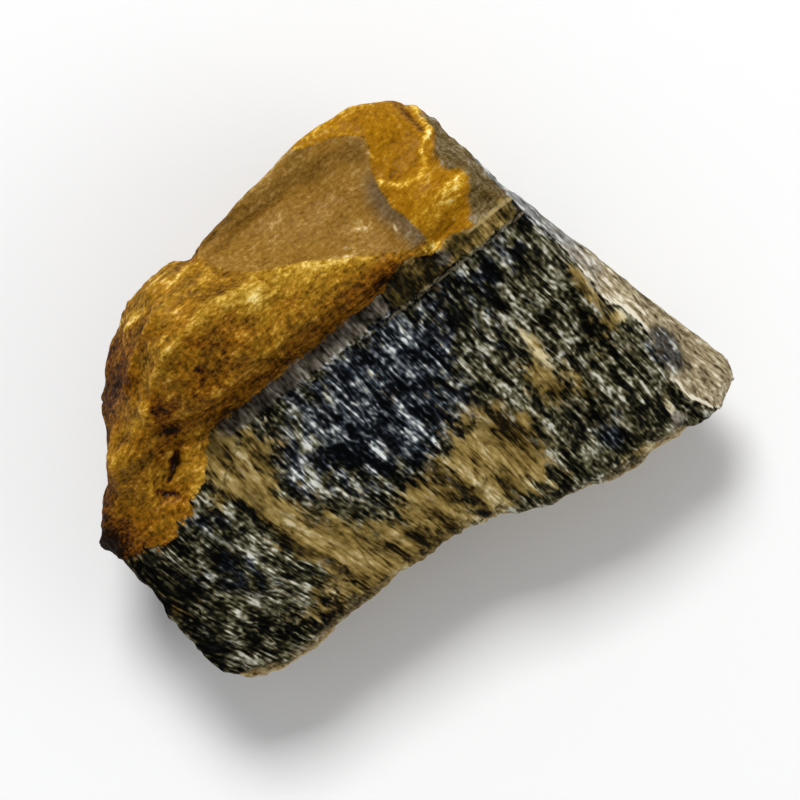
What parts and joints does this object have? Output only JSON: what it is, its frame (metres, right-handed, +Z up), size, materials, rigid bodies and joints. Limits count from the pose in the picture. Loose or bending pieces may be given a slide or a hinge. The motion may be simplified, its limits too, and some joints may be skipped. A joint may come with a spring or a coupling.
{
  "type": "rough tiger's eye stone",
  "caption": "Rough broken chunk of tiger's eye: a waxy golden cap over a dark silky fibrous face, with a pale slanted rim and a flat facet to rest on.",
  "frame": {"origin": "middle of the footprint box, on the surface that the stone rests on", "axes": "+X along the seam's length, +Y across the seam along the fibres towards the golden cap, +Z up"},
  "size_m": [0.0526, 0.0406, 0.025],
  "materials": {
    "tigers_eye": "waxy to silky"
  },
  "bodies": {
    "root": {"tigers_eye_stone": "tigers_eye"}
  },
  "joints": []
}
